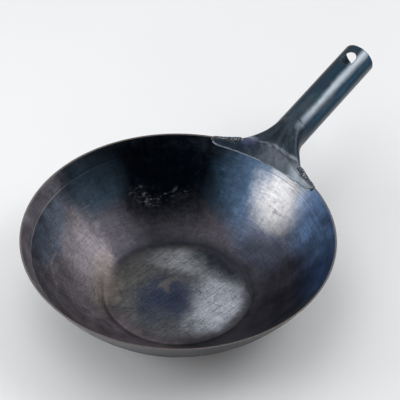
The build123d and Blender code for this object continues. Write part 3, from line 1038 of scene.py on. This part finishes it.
class WOK_OT_studio(bpy.types.Operator):
    """Makes the camera, the pale floor and the soft lamps"""

    bl_idname = "wok.make_studio"
    bl_label = "Camera, floor and lamps"

    def execute(self, context):
        studio = context.scene.wok_studio
        camera = bpy.data.objects.new("camera", bpy.data.cameras.new("camera"))
        context.scene.collection.objects.link(camera)
        camera.data.lens = studio.lens
        camera.data.sensor_width = FILM_width
        camera.data.clip_end = VIEW_end
        turn = Matrix.Rotation(studio.azimuth + pi / 2, 4, "Z")
        turn = turn @ Matrix.Rotation(pi / 2 - studio.elevation, 4, "X")
        turn = turn @ Matrix.Rotation(studio.roll, 4, "Z")
        back = Matrix.Translation((0, 0, studio.distance))
        camera.matrix_world = Matrix.Translation(studio.aim) @ turn @ back
        context.scene.camera = camera
        corners = [(x * FLOOR_half, y * FLOOR_half, 0) for x, y in ((-1, -1), (1, -1), (1, 1), (-1, 1))]
        floor = new_piece("studio_floor", corners, faces=[(0, 1, 2, 3)])
        floor.data.materials.append(studio_floor(studio))
        context.scene.world = surround(studio)
        for values in LAMPS:
            self.lamp(*values)
        context.scene.view_settings.view_transform = "Standard"
        return {"FINISHED"}

    def lamp(self, name, azimuth, elevation, away, size, power, tint):
        """A soft window of light on one side, facing the bowl."""
        data = bpy.data.lights.new(name, "AREA")
        data.shape = "RECTANGLE"
        data.size, data.size_y = size
        data.energy = power
        data.color = tint
        lamp = bpy.data.objects.new(name, data)
        bpy.context.scene.collection.objects.link(lamp)
        a, e = radians(azimuth), radians(elevation)
        towards = Vector((cos(a) * cos(e), sin(a) * cos(e), sin(e)))
        lamp.location = towards * away
        lamp.rotation_mode = "QUATERNION"
        lamp.rotation_quaternion = towards.to_track_quat("Z", "Y")


class WOK_OT_bowl(bpy.types.Operator):
    """Spins the bowl from its profile"""

    bl_idname = "wok.make_bowl"
    bl_label = "Spun bowl"

    def execute(self, context):
        bowl = context.scene.wok_bowl
        profile = bowl_profile(bowl)
        piece = new_piece("spun_bowl", [(point.real, 0, point.imag) for point in profile])
        grown(piece, spun_bowl_tree(), {
            "Profile points": len(profile),
            "Steps round": bowl.steps_round,
            "Waviness": bowl.waviness,
            "Wave length": bowl.wave_length,
            "Flat radius": bowl.floor_radius,
            "Seed": WALL_seed,
            "Material": BowlSteel(context.scene.wok_finish).whole(),
        })
        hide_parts("bowl")
        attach(piece, "root")
        return {"FINISHED"}


# way that the marks lift the metal, and the turn between two directions that shows a sharp edge
LIFT_way = (0.25, 0, 0.97)
EDGE_turn = radians(24)


class WOK_OT_handle(bpy.types.Operator):
    """Makes the handle: the CAD sheet as a dense mesh with its folding marks"""

    bl_idname = "wok.make_handle"
    bl_label = "Rolled handle"

    def execute(self, context):
        handle = context.scene.wok_handle
        piece = dense_copy("handle", "rolled_handle", handle.grain)
        mesh = piece.data
        edges = mesh_array(mesh.edges, "vertices", 2, np.int32)
        rough = relaxed(mesh_array(mesh.vertices, "co", 3), edges, 3)
        points, directions = on_the_solid("handle", rough)
        mesh.vertices.foreach_set("co", points.ravel())
        mesh.update()
        plain = mesh_array(mesh.vertex_normals, "vector", 3)
        points, directions = tube_true(points, directions, handle)
        bent = (plain * directions).sum(1) < cos(EDGE_turn)
        directions[bent] = plain[bent]
        directions = unit(relaxed(directions, edges, 3))
        before = unit(relaxed(plain, edges, 2))
        lift = folding_marks(points, handle)
        points = points + lift[:, None] * np.array(LIFT_way)
        mesh.vertices.foreach_set("co", points.ravel())
        mesh.update()
        after = unit(relaxed(mesh_array(mesh.vertex_normals, "vector", 3), edges, 2))
        directions = unit(directions + after - before)
        mesh.shade_smooth()
        mesh.normals_split_custom_set_from_vertices(directions.tolist())
        wear = relaxed(np.repeat(bent[:, None].astype(float), 3, 1), edges, 1)[:, 0]
        mark = mesh.attributes.new("edge_wear", "FLOAT", "POINT")
        mark.data.foreach_set("value", wear)
        mesh.materials.clear()
        mesh.materials.append(handle_steel(context.scene.wok_finish))
        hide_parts("handle")
        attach(piece, "root")
        return {"FINISHED"}


def wall_place(bowl, y, below, away):
    """Point on the band's inner face at a distance across and below the rim, moved off the face."""
    slope = bowl.band_inset / bowl.band_height
    slant = hypot(1, slope)
    radius = bowl.rim_radius - bowl.sheet * slant - below * slope - away
    return (sqrt(radius ** 2 - y ** 2), y, bowl.height - below)


# the lap's bead: its middle below the lap's edge and off the wall, and its bigger part across the lap
LAP_BEAD_below = 0.5 * MM
LAP_BEAD_away = 0.35 * MM
LAP_BEAD_middle = -33 * MM
LAP_BEAD_width = 7 * MM
# share by which it is bigger there, and how rough it is beside the other beads
LAP_BEAD_growth = 0.5
LAP_BEAD_roughness = 0.35
# numbers of steps along half the lap or a rim bead, round the lap's corner and down the skirt
PATH_steps = 60
CORNER_steps = 8
SKIRT_steps = 9


def lap_path(bowl, weld):
    """Path of the bead along the lap's lower edge and round its corners, with its radius."""
    corner = weld.lap_half_width - weld.lap_corner
    path = []
    for step in range(-PATH_steps, PATH_steps + 1):
        share = step / PATH_steps
        below = weld.lap_depth - (weld.lap_depth - weld.lap_end_depth) * share ** 2
        path.append((corner * share, below + LAP_BEAD_below))
    for step in range(1, CORNER_steps + 1):
        turn = pi / 2 * step / CORNER_steps
        y = corner + (weld.lap_corner + LAP_BEAD_below) * sin(turn)
        below = (weld.lap_end_depth + LAP_BEAD_below) * cos(turn)
        path.append((y, below))
        path.insert(0, (-y, below))
    points = [wall_place(bowl, y, below, LAP_BEAD_away) for y, below in path]
    swells = [exp(-((y - LAP_BEAD_middle) / LAP_BEAD_width) ** 2) for y, _ in path]
    sizes = [weld.lap_bead * (1 + LAP_BEAD_growth * swell) for swell in swells]
    return points, sizes


# place along a rim bead and its size there, both as shares
RIM_BEAD_sizes = ((0.0, 0.55), (0.18, 1.0), (0.40, 0.60), (0.65, 0.25), (1.0, 0.0))
# where a rim bead starts and how far it goes, in degrees round the rim
RIM_BEAD_turns = (12, 12.5)
# its least size, its growth outwards and upwards, and its depth below the rim in mm
RIM_BEAD_least = 0.6
RIM_BEAD_growth = (4.6, 3.2)
RIM_BEAD_below = 1.8


def rim_path(bowl, side):
    """Path of a bead over the rim beyond the fan, with its radius."""
    points, sizes = [], []
    first, covered = RIM_BEAD_turns
    for step in range(PATH_steps + 1):
        place = step / PATH_steps
        size = float(np.interp(place, *zip(*RIM_BEAD_sizes)))
        reach, top = ((RIM_BEAD_least + growth * size) * MM for growth in RIM_BEAD_growth)
        turn = side * radians(first + covered * place)
        radius = bowl.rim_radius + (reach - bowl.sheet) / 2
        below = RIM_BEAD_below * MM
        points.append((radius * cos(turn), radius * sin(turn), bowl.height + (top - below) / 2))
        sizes.append((reach + bowl.sheet + top + below) / 4)
    return points, sizes


def skirt_path(node, radius):
    """Path through the middle of a CAD bead from its top to its foot, with one radius."""
    points = mesh_array(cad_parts[node].data.vertices, "co", 3)
    low, high = points[:, 2].min(), points[:, 2].max()
    path = []
    for step in range(SKIRT_steps):
        height = high + (low - high) * (step + 0.5) / SKIRT_steps
        near = points[abs(points[:, 2] - height) < (high - low) / SKIRT_steps]
        if len(near):
            path.append(tuple((near.min(0) + near.max(0)) / 2))
    return path, [radius] * len(path)


class WOK_OT_welds(bpy.types.Operator):
    """Lays the weld beads along the lap, over the rim and under the fan"""

    bl_idname = "wok.make_welds"
    bl_label = "Weld beads"

    def execute(self, context):
        bowl, weld = context.scene.wok_bowl, context.scene.wok_weld
        metal = weld_metal(context.scene.wok_finish)
        tree = weld_bead_tree()
        plans = [("lap_weld", lap_path(bowl, weld), LAP_BEAD_roughness)]
        for node, side in zip(RIM_WELDS, (1, -1)):
            plans.append((node, rim_path(bowl, side), 1.0))
        for node in SKIRT_WELDS:
            plans.append((node, skirt_path(node, weld.skirt_bead), 1.0))
        for count, (node, (points, sizes), roughness) in enumerate(plans):
            edges = [(step, step + 1) for step in range(len(points) - 1)]
            piece = new_piece(node.replace("weld", "bead"), points, edges)
            marks = piece.data.attributes.new("bead", "FLOAT", "POINT")
            marks.data.foreach_set("value", sizes)
            grown(piece, tree, {
                "Ripple pitch": weld.ripple_pitch,
                "Ripple depth": weld.ripple_depth * roughness,
                "Lumpiness": weld.lumpiness * roughness,
                "Seed": float(weld.seed + count),
                "Material": metal,
            })
            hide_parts(node)
            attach(piece, "root")
        return {"FINISHED"}


class WOK_PT_parts(bpy.types.Panel):
    """Lists the wok's pieces and their sizes"""

    bl_idname = "WOK_PT_parts"
    bl_label = "Carbon steel wok"
    bl_space_type = "VIEW_3D"
    bl_region_type = "UI"
    bl_category = "Wok"

    def draw(self, context):
        makers = dict(zip(GROUPS, OPERATORS))
        for group in GROUPS:
            box = self.layout.box()
            if group in makers:
                box.operator(makers[group].bl_idname)
            settings = getattr(context.scene, group)
            for name in settings.__annotations__:
                box.prop(settings, name)


OPERATORS = (WOK_OT_studio, WOK_OT_bowl, WOK_OT_handle, WOK_OT_welds)
GROUPS = {
    "wok_studio": WokStudio,
    "wok_bowl": WokBowlShape,
    "wok_handle": WokHandleShape,
    "wok_weld": WokWeldShape,
    "wok_finish": WokFinish,
}


def register():
    for made in (*GROUPS.values(), *OPERATORS, WOK_PT_parts):
        bpy.utils.register_class(made)
    for name, group in GROUPS.items():
        setattr(bpy.types.Scene, name, PointerProperty(type=group))


def unregister():
    for name in GROUPS:
        delattr(bpy.types.Scene, name)
    for made in (WOK_PT_parts, *reversed(OPERATORS), *reversed(GROUPS.values())):
        bpy.utils.unregister_class(made)


def main():
    register()
    bpy.ops.wok.make_studio()
    bpy.ops.wok.make_bowl()
    bpy.ops.wok.make_handle()
    bpy.ops.wok.make_welds()


if __name__ == "__main__":
    main()
